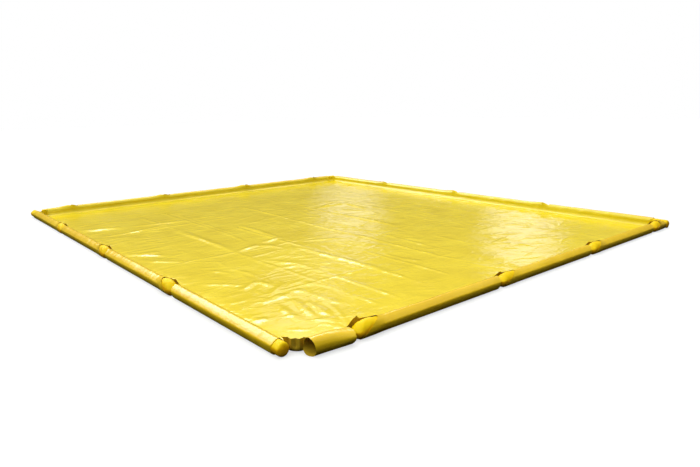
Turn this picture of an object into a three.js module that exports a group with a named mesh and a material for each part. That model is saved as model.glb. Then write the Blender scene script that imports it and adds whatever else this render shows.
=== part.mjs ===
// Foam-wall spill containment berm: a welded sheet floor laid flat on the ground, with a low wall
// all round. The wall is a row of sheet sleeves that hold foam logs, behind an upright skirt that
// carries the floor up the inner side of the logs. Between two sleeves a notch bares the log ends.
// Millimetres, +Z up. The origin is on the ground under the middle of the berm, +X runs along the
// front and back walls, and +Y along the left and right walls.
import * as THREE from "three";

// Coated sheet, and the gap that stands for a weld or a butt between two pieces
const sheetThickness = 0.9;
const weldGap = 0.3;

// Foam logs. Each wall is filled with logs from its open end, where the first one is drawn out, and
// the lengths of its logs set the length of the wall.
const log = {
  diameter: 92,
  endRound: 13,
  buttGap: 1,
  sides: 16,
  roundSteps: 2,
};
const fullLog = 1535;
const sideOddLog = 1478;
const frontCornerLog = 480;
const frontThirdLog = 1460;
const frontFourthLog = 1405;
const frontStubLog = 323;
const backCornerLog = 430;
const backFourthLog = 1358;
const backStubLog = 505;

// Sleeves: the ease round the log, and the extra height of the one that holds no log
const sleeve = {
  ease: 3.1,
  emptyRise: 14,
  sides: 24,
};

// Notch between two sleeves, from the joint of two logs. The near sleeve is cut off almost square
// just before the joint. The far sleeve leans back from it, and bares the end of the far log.
const notch = {
  nearReach: 10,
  nearLean: 30,
  farReach: 70,
  farLean: 170,
};

// Corners: what stays open between the end of a wall and the wall that it meets
const corner = {
  logStandOff: 17,
  sleeveStandOff: 104,
  stubSleeveStandOff: 12,
  openSleeveStandOff: 66,
};

// Skirt: the upright strip along the inner side of the logs. In a notch its free edge climbs from
// the near sleeve to a peak past the log joint, drops, and settles on the far log.
const skirt = {
  peakHeight: 125,
  peakLead: 110,
  peakDrop: 12,
  peakSettle: 60,
  shoulderShare: 0.25,
  filletRadius: 40,
  lap: 25,
  wrapFacets: 3,
  filletSteps: 4,
};

// Corner gusset: the skirt carried round the corner, gathered in pleats
const gusset = { pleatDepth: 4, pleats: 4, stepsPerPleat: 2 };

// Floor sheet: how far it runs in under the wall, and the packing folds that stand up from it
const floorSheet = { underlap: 15, cornerCover: 12 };
const fold = { height: 8, halfWidth: 45, runIn: 260 };
// Each lengthwise fold: its place across the floor, and its start and end along it
const lengthFoldShares = [
  [0.2, 0.06, 0.8],
  [0.237, 0.04, 0.3],
  [0.268, 0.45, 0.86],
  [0.321, 0.06, 0.66],
  [0.39, 0.07, 0.3],
  [0.463, 0.12, 0.8],
  [0.505, 0.15, 0.5],
  [0.58, 0.14, 0.75],
  [0.718, 0.45, 0.7],
];
// Each crosswise fold: its place along the floor, and its start and end across it
const crossFoldShares = [
  [0.185, 0.08, 0.32],
  [0.4, 0.12, 0.42],
  [0.685, 0.06, 0.4],
];

const colour = {
  floor: 0xe8cf4c,
  hem: 0xdcb83a,
  log: 0xf7dc12,
};

// What follows from the sizes above
const sleeveInnerRadius = log.diameter / 2 + sleeve.ease;
const sleeveRadius = sleeveInnerRadius + sheetThickness;
const wallThickness = 2 * sleeveRadius;
const logCentreHeight = sheetThickness + weldGap + log.diameter / 2;
const skirtRadius = sleeveRadius + weldGap;
const lapBottom = sheetThickness + weldGap;
const filletTop = lapBottom + skirt.filletRadius;
const filletFoot = sleeveRadius + skirtRadius + skirt.filletRadius;
const skirtFoot = filletFoot + skirt.lap;
const cornerReach = wallThickness + corner.sleeveStandOff;

// The logs of each wall from its open end, and the overall size that they give, to the outer sides
// of the walls. The back wall is as long as the front wall.
const total = (lengths) => lengths.reduce((sum, length) => sum + length, 0);
const frontLogs = [frontCornerLog, fullLog, frontThirdLog, frontFourthLog, frontStubLog];
const leftLogs = [fullLog, fullLog, fullLog, sideOddLog];
const rightLogs = [...leftLogs].reverse();
const backLog = (total(frontLogs) - backCornerLog - backFourthLog - backStubLog) / 2;
const backLogs = [backCornerLog, backLog, backLog, backFourthLog, backStubLog];
const closedEnd = wallThickness + corner.logStandOff;
const berm = { width: total(frontLogs) + closedEnd, length: total(leftLogs) + closedEnd };

const root = new THREE.Group();
root.name = "spill_containment_berm";

const finish = (tint, roughness) =>
  new THREE.MeshStandardMaterial({ color: tint, roughness, metalness: 0 });
const floorFinish = finish(colour.floor, 0.35);
const hemFinish = finish(colour.hem, 0.35);
const logFinish = finish(colour.log, 0.3);

// One named piece
function piece(name, geometry, material, parent) {
  const mesh = new THREE.Mesh(geometry, material);
  mesh.name = name;
  parent.add(mesh);
  return mesh;
}

// A closed sheet from two like grids of points, its outer and its inner face: grid[row][column].
// Seen from outside, the rows follow each other to the right and each row's points run upwards. A
// wrapped sheet joins its last row to its first.
function sheetSolid(outer, inner, wrapped = false) {
  const rows = outer.length;
  const columns = outer[0].length;
  const points = [...outer.flat(), ...inner.flat()];
  const triangles = [];
  const at = (side, row, column) => (side * rows + (row % rows)) * columns + column;
  const quad = (a, b, c, d) => triangles.push(a, b, c, a, c, d);
  const bands = wrapped ? rows : rows - 1;
  for (let i = 0; i < bands; i++) {
    for (let j = 0; j < columns - 1; j++) {
      quad(at(0, i, j), at(0, i + 1, j), at(0, i + 1, j + 1), at(0, i, j + 1));
      quad(at(1, i, j), at(1, i, j + 1), at(1, i + 1, j + 1), at(1, i + 1, j));
    }
    const last = columns - 1;
    quad(at(0, i, 0), at(1, i, 0), at(1, i + 1, 0), at(0, i + 1, 0));
    quad(at(0, i, last), at(0, i + 1, last), at(1, i + 1, last), at(1, i, last));
  }
  if (!wrapped) {
    const end = rows - 1;
    for (let j = 0; j < columns - 1; j++) {
      quad(at(0, 0, j), at(0, 0, j + 1), at(1, 0, j + 1), at(1, 0, j));
      quad(at(0, end, j), at(1, end, j), at(1, end, j + 1), at(0, end, j + 1));
    }
  }
  const geometry = new THREE.BufferGeometry();
  geometry.setAttribute("position", new THREE.Float32BufferAttribute(points.flat(), 3));
  geometry.setIndex(triangles);
  geometry.computeVertexNormals();
  return geometry;
}

// Each wall is built along its own line: "along" runs from the open end of the wall, "in" from its
// outer side towards the middle of the berm, and up is +Z. "lead" says to which side of a log joint
// the far log lies. "standOff" is what stays open beyond the last sleeve.
const walls = [
  {
    name: "front",
    span: berm.width,
    logs: frontLogs,
    lead: 1,
    standOff: corner.stubSleeveStandOff,
    emptyFirst: true,
    turn: 0,
    start: [-berm.width / 2, -berm.length / 2],
  },
  {
    name: "right",
    span: berm.length,
    logs: rightLogs,
    lead: 1,
    standOff: corner.sleeveStandOff,
    emptyFirst: false,
    turn: Math.PI / 2,
    start: [berm.width / 2, -berm.length / 2],
  },
  {
    name: "back",
    span: berm.width,
    logs: backLogs,
    lead: 1,
    standOff: corner.sleeveStandOff,
    emptyFirst: false,
    turn: Math.PI,
    start: [berm.width / 2, berm.length / 2],
  },
  {
    name: "left",
    span: berm.length,
    logs: leftLogs,
    lead: -1,
    standOff: corner.sleeveStandOff,
    emptyFirst: false,
    turn: -Math.PI / 2,
    start: [-berm.width / 2, berm.length / 2],
  },
];

// The places along a wall where one log ends and the next begins, from its open end to its last
function logJoints(wall) {
  const joints = [0];
  for (const length of wall.logs) joints.push(joints.at(-1) + length);
  return joints;
}

const innerJoints = (wall) => logJoints(wall).slice(1, -1);

// The edges of a notch at a height above the ground, from the log joint, the lower one first
function notchEdges(wall, height) {
  const share = Math.min(Math.max(height / wallThickness, 0), 1) ** 2;
  const near = notch.nearLean * share - notch.nearReach;
  const far = notch.farReach + notch.farLean * share;
  return wall.lead > 0 ? [near, far] : [-far, -near];
}

// A corner of the many-sided tube that lies round a log: its flats touch the radius, so that it
// stands on one of them. A rise stretches its upper half upwards, and makes it no wider.
function tubeCorner(i, radius, rise) {
  const angle = ((i + 0.5) / sleeve.sides) * 2 * Math.PI;
  const reach = radius / Math.cos(Math.PI / sleeve.sides);
  const up = reach * Math.sin(angle);
  const stretch = up > 0 ? 1 + rise / sleeveRadius : 1;
  return [sleeveRadius + reach * Math.cos(angle), sleeveRadius + up * stretch];
}

// A sleeve from one end to the other. Each end is at a distance along the wall, and is the edge of a
// notch there, or a square cut where notched is false.
function sleeveGeometry(wall, from, to, rise) {
  const outer = [];
  const inner = [];
  for (let i = 0; i < sleeve.sides; i++) {
    const [across, height] = tubeCorner(i, sleeveRadius, rise);
    const [innerAcross, innerHeight] = tubeCorner(i, sleeveInnerRadius, rise);
    const [low, high] = notchEdges(wall, height);
    const first = from.at + (from.notched ? high : 0);
    const last = to.at + (to.notched ? low : 0);
    outer.push([[first, across, height], [last, across, height]]);
    inner.push([[first, innerAcross, innerHeight], [last, innerAcross, innerHeight]]);
  }
  return sheetSolid(outer, inner, true);
}

// A log lying along the wall: a rod with rounded ends
function logGeometry(from, to) {
  const radius = log.diameter / 2;
  const round = log.endRound;
  const profile = [];
  const arc = (centre, startAngle) => {
    for (let i = 0; i <= log.roundSteps; i++) {
      const angle = startAngle + (i / log.roundSteps) * (Math.PI / 2);
      const out = radius - round + round * Math.cos(angle);
      profile.push(new THREE.Vector2(out, centre + round * Math.sin(angle)));
    }
  };
  profile.push(new THREE.Vector2(0, from));
  arc(from + round, -Math.PI / 2);
  arc(to - round, 0);
  profile.push(new THREE.Vector2(0, to));
  const geometry = new THREE.LatheGeometry(profile, log.sides);
  geometry.rotateZ(-Math.PI / 2);
  geometry.translate(0, sleeveRadius, logCentreHeight);
  return geometry;
}

// The skirt's section, from its foot on the floor to its top edge, as pairs of a point on the face
// towards the berm and one on the face towards the log: [in, up]. It wraps the sleeve, and rises
// with it. At a notch's peak the strip stands straight up to its full height.
function skirtSection(peakShare, rise) {
  const pairs = [[[skirtFoot, lapBottom + sheetThickness], [skirtFoot, lapBottom]]];
  for (let i = 0; i <= skirt.filletSteps; i++) {
    const angle = (i / skirt.filletSteps) * (Math.PI / 2);
    const reach = (radius) => [
      filletFoot - radius * Math.sin(angle),
      filletTop - radius * Math.cos(angle),
    ];
    pairs.push([reach(skirt.filletRadius - sheetThickness), reach(skirt.filletRadius)]);
  }
  for (let i = 0; i <= skirt.wrapFacets; i++) {
    const reach = (radius) => {
      const wrapped = tubeCorner(i, radius, rise);
      const bend = tubeCorner(0, radius, rise)[1];
      const upright = bend + (i / skirt.wrapFacets) * (skirt.peakHeight - bend);
      const straight = [sleeveRadius + radius, upright];
      return wrapped.map((value, k) => value + (straight[k] - value) * peakShare);
    };
    pairs.push([reach(skirtRadius + sheetThickness), reach(skirtRadius)]);
  }
  return pairs;
}

// How much taller the first sleeve of a wall is than the others
const firstRise = (wall) => (wall.emptyFirst ? sleeve.emptyRise : 0);

// The skirt of one wall, with a peak in each notch. Up to the first notch it rises with the sleeve.
function skirtGeometry(wall) {
  const rise = firstRise(wall);
  const joints = innerJoints(wall);
  const riseAt = (along) => (along < joints[0] + notch.nearLean ? rise : 0);
  const stations = [[cornerReach + weldGap, 0], [wall.span - cornerReach - weldGap, 0]];
  for (const joint of joints) {
    const past = (reach) => joint + wall.lead * reach;
    stations.push([past(notch.nearLean - notch.nearReach), 0]);
    stations.push([past(skirt.peakLead), 1]);
    stations.push([past(skirt.peakLead + skirt.peakDrop), skirt.shoulderShare]);
    stations.push([past(skirt.peakLead + skirt.peakDrop + skirt.peakSettle), 0]);
  }
  stations.sort((a, b) => b[0] - a[0]);
  const grid = (side) =>
    stations.map(([along, share]) =>
      skirtSection(share, riseAt(along)).map((pair) => [along, ...pair[side]]),
    );
  return sheetSolid(grid(0), grid(1));
}

// The gusset at the open end of a wall: the skirt's section swung round the corner
function gussetGeometry(rise) {
  const steps = gusset.pleats * gusset.stepsPerPleat;
  const grid = (side) => {
    const rows = [];
    for (let i = 0; i <= steps; i++) {
      const angle = (1 - i / steps) * (Math.PI / 2);
      const section = skirtSection(0, rise * Math.sin(angle));
      const inside = i > 0 && i < steps;
      const pleat = inside && i % gusset.stepsPerPleat ? gusset.pleatDepth : 0;
      rows.push(
        section.map((pair) => {
          const [reach, up] = pair[side];
          const free = Math.max(up - filletTop, 0) / sleeveRadius;
          const radius = cornerReach - reach - pleat * Math.min(free, 1);
          return [
            cornerReach - radius * Math.cos(angle),
            cornerReach - radius * Math.sin(angle),
            up,
          ];
        }),
      );
    }
    return rows;
  };
  return sheetSolid(grid(0), grid(1));
}

// One wall: its sleeves, its logs and its skirt, and the gusset at its open end
function buildWall(wall) {
  const group = new THREE.Group();
  group.rotation.z = wall.turn;
  group.position.set(...wall.start, 0);
  const joints = logJoints(wall);
  const ends = [
    { at: wallThickness + corner.openSleeveStandOff, notched: false },
    ...innerJoints(wall).map((at) => ({ at, notched: true })),
    { at: wall.span - wallThickness - wall.standOff, notched: false },
  ];
  for (let i = 0; i < wall.logs.length; i++) {
    const empty = wall.emptyFirst && i === 0;
    const tube = sleeveGeometry(wall, ends[i], ends[i + 1], i === 0 ? firstRise(wall) : 0);
    piece(`${wall.name}_sleeve_${i + 1}`, tube, hemFinish, group);
    if (empty) continue;
    const rod = logGeometry(joints[i], joints[i + 1] - log.buttGap);
    piece(`${wall.name}_log_${i + 1}`, rod, logFinish, group);
  }
  piece(`${wall.name}_skirt`, skirtGeometry(wall), hemFinish, group);
  piece(`${wall.name}_corner_gusset`, gussetGeometry(firstRise(wall)), hemFinish, group);
  root.add(group);
}

// Height of the floor's packing folds: a ridge fades in over its run-in at both ends
function foldHeight(x, y, width, length) {
  const ridge = (across, along, [place, first, last], breadth, reach) => {
    const beside = Math.abs(across - place * breadth) / fold.halfWidth;
    const inside = Math.min(along - first * reach, last * reach - along) / fold.runIn;
    return Math.max(0, 1 - beside) * Math.min(Math.max(inside, 0), 1);
  };
  const heights = [
    0,
    ...lengthFoldShares.map((share) => ridge(x, y, share, width, length)),
    ...crossFoldShares.map((share) => ridge(y, x, share, length, width)),
  ];
  return fold.height * Math.max(...heights);
}

// Lines of the floor's grid across one direction: both edges, the cut corners, and three a fold
function foldLines(size, cut, folds) {
  const lines = [0, cut, size - cut, size];
  for (const [place] of folds) {
    lines.push(place * size - fold.halfWidth, place * size, place * size + fold.halfWidth);
  }
  lines.sort((a, b) => a - b);
  return lines.filter((value, i) => i === 0 || value - lines[i - 1] > fold.halfWidth / 2);
}

// The floor sheet, with its corners cut off behind the gussets
function floorGeometry() {
  const edge = wallThickness - floorSheet.underlap;
  const width = berm.width - 2 * edge;
  const length = berm.length - 2 * edge;
  const cover = (cornerReach - filletFoot - floorSheet.cornerCover) * Math.SQRT1_2;
  const cut = 2 * (cornerReach - edge - cover);
  const xs = foldLines(width, cut, lengthFoldShares);
  const ys = foldLines(length, cut, crossFoldShares);
  const grid = (lift) =>
    xs.map((x) =>
      ys.map((y) => {
        const inset = Math.max(cut - Math.min(y, length - y), 0);
        const inside = inset + (x / width) * (width - 2 * inset);
        const height = lift + foldHeight(inside, y, width, length);
        return [inside - width / 2, y - length / 2, height];
      }),
    );
  return sheetSolid(grid(sheetThickness), grid(0));
}

piece("floor_sheet", floorGeometry(), floorFinish, root);
walls.forEach(buildWall);

export default root;
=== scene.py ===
"""Looks of a foam-wall spill containment berm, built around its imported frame. Blender 4.5, metres.

The berm is a sheet floor with packing folds, inside a low wall of foam logs in sheet sleeves. A skirt
carries the floor up the inner side of the logs, and a pleated gusset carries it round each corner.
Between two sleeves a notch bares the swollen end of a log.
"""
import math

import bpy
import numpy as np
from mathutils import Matrix, Vector


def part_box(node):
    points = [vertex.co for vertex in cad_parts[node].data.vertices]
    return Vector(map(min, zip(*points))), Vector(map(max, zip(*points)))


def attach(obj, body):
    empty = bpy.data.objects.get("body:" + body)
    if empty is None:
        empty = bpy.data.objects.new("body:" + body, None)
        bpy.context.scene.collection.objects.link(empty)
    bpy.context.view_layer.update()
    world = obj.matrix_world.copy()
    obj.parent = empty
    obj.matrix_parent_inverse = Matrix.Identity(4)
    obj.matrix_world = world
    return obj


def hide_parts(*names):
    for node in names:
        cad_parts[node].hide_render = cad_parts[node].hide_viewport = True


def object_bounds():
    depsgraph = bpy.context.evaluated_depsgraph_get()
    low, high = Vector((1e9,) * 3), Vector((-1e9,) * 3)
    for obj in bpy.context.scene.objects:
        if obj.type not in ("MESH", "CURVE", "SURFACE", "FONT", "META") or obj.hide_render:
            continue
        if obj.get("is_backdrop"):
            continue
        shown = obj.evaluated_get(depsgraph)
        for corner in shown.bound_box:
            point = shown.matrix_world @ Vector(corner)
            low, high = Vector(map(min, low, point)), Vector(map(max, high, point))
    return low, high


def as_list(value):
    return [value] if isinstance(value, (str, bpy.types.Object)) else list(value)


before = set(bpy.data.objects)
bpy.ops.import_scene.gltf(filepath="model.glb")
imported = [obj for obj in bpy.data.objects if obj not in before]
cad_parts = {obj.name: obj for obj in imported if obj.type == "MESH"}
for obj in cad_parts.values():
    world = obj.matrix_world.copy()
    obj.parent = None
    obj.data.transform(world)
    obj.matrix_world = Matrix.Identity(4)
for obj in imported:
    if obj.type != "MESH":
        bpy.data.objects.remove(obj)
cad_low, cad_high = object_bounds()

SHEET = 0.0009
WELD_GAP = 0.0003

# How far the film swells out of the end of a log in a notch: where the swelling starts past the log
# joint, where it is full, where it starts to sink again, and where it has gone
SWELL_START, SWELL_FULL, SWELL_SINK, SWELL_END = 0.02, 0.09, 0.15, 0.32
LOG_SWELL_UP, LOG_SWELL_OUT, LOG_SWELL_IN = 0.024, 0.012, 0.0022
SLEEVE_SWELL_UP, SLEEVE_SWELL_OUT = 0.022, 0.0105
# How much each wall's log ends have swollen, from its open corner
SWELL_SHARES = {
    "front": (1.0, 0.5, 0.75, 0.8),
    "right": (0.7, 0.9, 0.6),
    "back": (0.6, 0.9, 0.7, 0.8),
    "left": (0.6, 0.85, 1.0),
}
# The swollen end is a dome, long over its top and short at its sides. The other ends are rounder
# where they show at a corner than inside a sleeve: (top, side)
DOME_END = (0.125, 0.036)
CORNER_END = (0.018, 0.013)
PLAIN_END = (0.014, 0.014)
# How far inside the solid's end the wall's last log stops at its corner, and a dome in its notch
CORNER_CUT, DOME_CUT = 0.012, 0.03
# How far the empty sleeve has sagged outwards at its notch, and sunk there
EMPTY_SAG, EMPTY_SINK = 0.028, 0.008

# Soft unevenness of the sleeves, and the crease along their upper outer side
SLACK = 0.0016
HOOP_WRINKLE = 0.0022
CREASE_HEIGHT, CREASE_ANGLE, CREASE_WIDTH = 0.0016, math.radians(164), 0.1
# The walls are pressed flat from their top to the crease, and a little below it
FLATS = [(math.radians(90), CREASE_ANGLE, 0.62), (CREASE_ANGLE, math.radians(215), 0.12)]
# The sleeve squats on the ground: where its lower outer corner is fuller, and how much
SQUAT_START, SQUAT_END, SQUAT = math.radians(200), math.radians(275), 0.10

# Skirt and gusset: how high the skirt's free edge stands in each wall's notches, from its open
# corner, and the pleats of the gusset
PEAK_SHARES = {
    "front": (1.0, 0.4, 0.35, 0.25),
    "right": (0.7, 0.6, 0.7),
    "back": (0.6, 0.8, 0.6, 0.7),
    "left": (0.35, 0.4, 0.4),
}
GUSSET_PLEATS = 3
GUSSET_PLEAT_DEPTH = 0.017
GUSSET_TOP = 0.093

# Grid steps
SLEEVE_STEP, SLEEVE_SIDES = 0.012, 48
LOG_STEP, LOG_SIDES = 0.012, 40
# Closer rows at a log's ends: the first ones, and the step of the others up to a distance
LOG_TIP_ROWS, LOG_END_STEP, LOG_END_ZONE = (0.0004, 0.002, 0.005), 0.0075, 0.12
SKIRT_STEP = 0.012
FLOOR_STEP = 0.0165

# Packing folds of the floor: (place, start, end, height), measured from the outer sides of the left
# and front walls
LENGTH_FOLDS = [
    (1.08, 0.30, 5.20, 0.0060),
    (1.27, 0.30, 2.00, 0.0055),
    (1.42, 2.70, 5.30, 0.0055),
    (1.50, 3.20, 5.10, 0.0040),
    (1.70, 0.60, 3.70, 0.0085),
    (2.06, 0.40, 1.80, 0.0055),
    (2.45, 0.80, 4.80, 0.0085),
    (2.68, 0.90, 3.10, 0.0055),
    (3.08, 1.00, 1.70, 0.0050),
    (3.11, 2.30, 4.30, 0.0090),
    (3.82, 2.70, 4.20, 0.0060),
    (4.45, 1.60, 4.90, 0.0040),
]
CROSS_FOLDS = [
    (1.15, 0.30, 1.80, 0.0060),
    (2.48, 0.35, 2.30, 0.0060),
    (4.15, 0.30, 2.10, 0.0055),
    (4.45, 0.80, 2.30, 0.0045),
    (3.20, 2.60, 4.60, 0.0035),
]
# Patches of short straight creases: middle, reach, how many, heading and its spread in degrees,
# longest and tallest
CREASE_PATCHES = [
    ((0.75, 0.85), 0.65, 12, 82, 22, 0.85, 0.0045),
    ((1.00, 1.20), 0.80, 10, 12, 25, 0.60, 0.0040),
    ((1.00, 2.20), 0.90, 16, 20, 60, 0.60, 0.0044),
    ((0.70, 3.60), 0.80, 22, 5, 35, 0.80, 0.0050),
    ((0.90, 5.00), 0.90, 18, 0, 40, 0.70, 0.0046),
    ((2.20, 1.50), 1.00, 24, 70, 50, 0.70, 0.0048),
    ((2.60, 3.60), 1.20, 34, 60, 60, 0.70, 0.0046),
    ((4.20, 1.30), 1.00, 48, 120, 45, 0.70, 0.0058),
    ((3.50, 3.90), 0.90, 40, 110, 50, 0.70, 0.0052),
    ((4.40, 3.00), 0.80, 20, 100, 60, 0.60, 0.0044),
    ((2.60, 5.30), 1.30, 26, 90, 80, 0.60, 0.0042),
    ((4.30, 5.00), 0.90, 18, 60, 80, 0.60, 0.0042),
]
# The creases that catch the light. Their least half width and their slope in degrees, where the
# camera looks at them steeply, and where it looks at them under a flatter angle than that
NEAR_CREASE, FAR_CREASE = (0.032, 9.0), (0.042, 12.5)
FAR_ANGLE = math.radians(16)
# They were picked in enlarged crops of the photo: the crop's corner in the photo's pixels, its
# enlargement, the rule for its flatly seen creases, its greatest half width, and the creases. A
# crease has its start, its end and the sag of its middle in the crop's pixels, then its width in the
# photo's pixels and its share of the slope
CREASE_PICKS = [
    ((60, 200), 5.6, FAR_CREASE, 0.075, [
        ((115, 180), (330, 160), 4, 1.2, 1.0),
        ((270, 205), (560, 150), 8, 1.5, 1.1),
        ((440, 150), (700, 120), 4, 1.2, 0.9),
        ((370, 320), (570, 321), -5, 1.6, 1.1),
        ((395, 315), (560, 297), 3, 1.3, 1.0),
        ((480, 246), (550, 237), 2, 1.0, 0.8),
        ((450, 345), (720, 352), 5, 1.0, 0.7),
        ((1150, 240), (1240, 213), 4, 1.5, 1.0),
        ((1010, 292), (1110, 258), 3, 1.5, 1.0),
        ((1100, 262), (1235, 276), -4, 1.3, 0.9),
        ((1190, 360), (1375, 382), -10, 1.5, 1.0),
        ((810, 485), (1010, 490), -6, 1.6, 1.1),
        ((1040, 510), (1110, 462), 0, 2.5, 1.1),
        ((1095, 462), (1160, 492), -4, 2.5, 1.1),
        ((1160, 580), (1340, 508), 6, 2.0, 1.1),
        ((1040, 560), (1290, 545), 8, 1.3, 0.9),
        ((1110, 692), (1185, 658), 3, 2.5, 1.1),
        ((1450, 420), (1568, 441), -3, 2.0, 1.1),
        ((1430, 375), (1568, 400), 4, 1.3, 0.9),
        ((1440, 680), (1568, 690), -4, 2.5, 1.1),
        ((1370, 580), (1500, 640), 3, 2.5, 1.1),
        ((1190, 540), (1260, 470), 5, 1.5, 0.9),
        ((1450, 50), (1550, 18), 3, 1.5, 0.9),
        ((1320, 235), (1568, 215), 5, 1.0, 0.7),
        ((810, 405), (930, 420), -4, 1.2, 0.8),
        ((960, 395), (1100, 440), -4, 1.2, 0.8),
        ((640, 170), (950, 290), 0, 1.2, 0.9),
        ((1390, 290), (1568, 340), 0, 1.5, 1.0),
        ((1010, 150), (1200, 215), 0, 1.2, 0.8),
    ]),
    ((250, 290), 9.22, FAR_CREASE, 0.075, [
        ((205, 100), (360, 42), -6, 2.5, 1.1),
        ((350, 40), (520, 30), -6, 2.2, 1.1),
        ((390, 100), (570, 255), 6, 2.0, 1.0),
        ((520, 35), (800, 125), 5, 2.2, 1.0),
        ((590, 180), (715, 243), 4, 2.6, 1.1),
        ((560, 290), (790, 325), -14, 2.8, 1.1),
        ((70, 305), (160, 262), 3, 2.6, 1.1),
        ((120, 135), (235, 88), 4, 2.2, 1.0),
        ((230, 150), (420, 290), 6, 2.0, 0.9),
        ((620, 330), (800, 355), -6, 1.8, 0.9),
        ((260, 400), (600, 385), -10, 1.8, 0.8),
    ]),
    ((400, 190), 5.407, NEAR_CREASE, 0.045, [
        ((500, 132), (650, 108), 4, 1.3, 0.9),
        ((540, 192), (760, 180), 4, 1.3, 0.9),
        ((470, 247), (660, 235), 4, 1.3, 0.9),
        ((600, 300), (710, 308), -6, 2.0, 1.0),
        ((620, 205), (800, 200), 3, 1.2, 0.8),
        ((690, 262), (860, 250), 4, 1.3, 0.8),
        ((560, 325), (640, 318), -4, 1.6, 0.9),
        ((520, 290), (600, 255), 3, 1.5, 0.9),
        ((80, 117), (175, 100), 3, 1.2, 0.8),
        ((640, 130), (820, 135), -4, 1.5, 0.9),
    ]),
    ((100, 160), 3.409, FAR_CREASE, 0.075, [
        ((755, 160), (835, 148), 3, 1.2, 0.9),
        ((835, 148), (900, 168), 2, 1.2, 0.9),
        ((600, 372), (705, 355), 4, 1.4, 0.9),
        ((560, 345), (700, 350), 4, 1.0, 0.7),
        ((690, 308), (965, 380), 0, 1.5, 1.1),
        ((830, 190), (985, 222), 0, 1.5, 1.0),
        ((255, 245), (430, 305), 0, 1.2, 0.9),
    ]),
]
PHOTO_WIDTH, PHOTO_CENTRE = 700, (350, 233.5)
# Limits: how much foreshortening widens or steepens a crease, and how tall it may be
LEAST_SEEN_WIDTH, LEAST_FACING, TALLEST_CREASE = 0.15, 0.45, 0.0155
# A bright crease is steep on its right, and this much wider on its left
GENTLE_SIDE = 2.0
CREASE_HALF_WIDTH = 0.029
FOLD_HALF_WIDTH = 0.036
FOLD_WANDER = 0.035
FOLD_RUN_IN = 0.3
FOLD_RAISE = 1.2

# Camera: where it stands from the berm's front corner, how it is turned, and its lens
CAMERA_FROM_CORNER = (-1.662, -2.487, 1.4465)
CAMERA_YAW, CAMERA_PITCH, CAMERA_ROLL = 0.864279, 0.223471, -0.0151166
CAMERA_LENS, SENSOR_WIDTH = 29.31, 36


def smooth(t):
    t = np.clip(t, 0, 1)
    return t * t * (3 - 2 * t)


def camera_axes():
    """The camera's axes: to its right, up, and forward."""
    level = math.cos(CAMERA_PITCH)
    forward = np.array(
        (math.cos(CAMERA_YAW) * level, math.sin(CAMERA_YAW) * level, -math.sin(CAMERA_PITCH))
    )
    right = np.array((math.sin(CAMERA_YAW), -math.cos(CAMERA_YAW), 0))
    up = np.cross(right, forward)
    cos, sin = math.cos(CAMERA_ROLL), math.sin(CAMERA_ROLL)
    return right * cos + up * sin, up * cos - right * sin, forward


LATTICE = 48


def value_noise(points, cell, seed):
    """Smooth noise from -1 to 1 at points (..., 3). Its features are about a cell apart."""
    table = np.random.default_rng(seed).uniform(-1, 1, (LATTICE,) * 3)
    scaled = np.asarray(points, float) / cell
    base = np.floor(scaled).astype(int)
    part = smooth(scaled - base)
    value = np.zeros(scaled.shape[:-1])
    for corner in np.ndindex(2, 2, 2):
        place = tuple((base[..., k] + corner[k]) % LATTICE for k in range(3))
        weight = np.ones_like(value)
        for k in range(3):
            weight = weight * (part[..., k] if corner[k] else 1 - part[..., k])
        value += table[place] * weight
    return value


def ridged_noise(points, cell, seed, sharpness=3.0):
    """Thin ridges from 0 to 1, as creases in a sheet."""
    return (1 - np.abs(value_noise(points, cell, seed))) ** sharpness


def stack(*parts):
    return np.stack(np.broadcast_arrays(*parts), axis=-1)


def flattened(angle):
    """How far a wall's outer side has been pressed flat, as a share of its radius."""
    angle = np.asarray(angle, float) % (2 * math.pi)
    share = np.ones_like(angle)
    for start, end, pressed in FLATS:
        half = (end - start) / 2
        chord = math.cos(half) / np.cos(np.clip(angle - start - half, -half, half))
        inside = (angle > start) & (angle < end)
        share = np.where(inside, 1 - pressed * (1 - chord), share)
    return share


def squat(angle):
    """How much wider the lower outer corner of a sleeve makes it, as a share of its radius."""
    angle = np.asarray(angle, float) % (2 * math.pi)
    across = np.clip((angle - SQUAT_START) / (SQUAT_END - SQUAT_START), 0, 1)
    return SQUAT * np.sin(math.pi * across) ** 2


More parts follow.
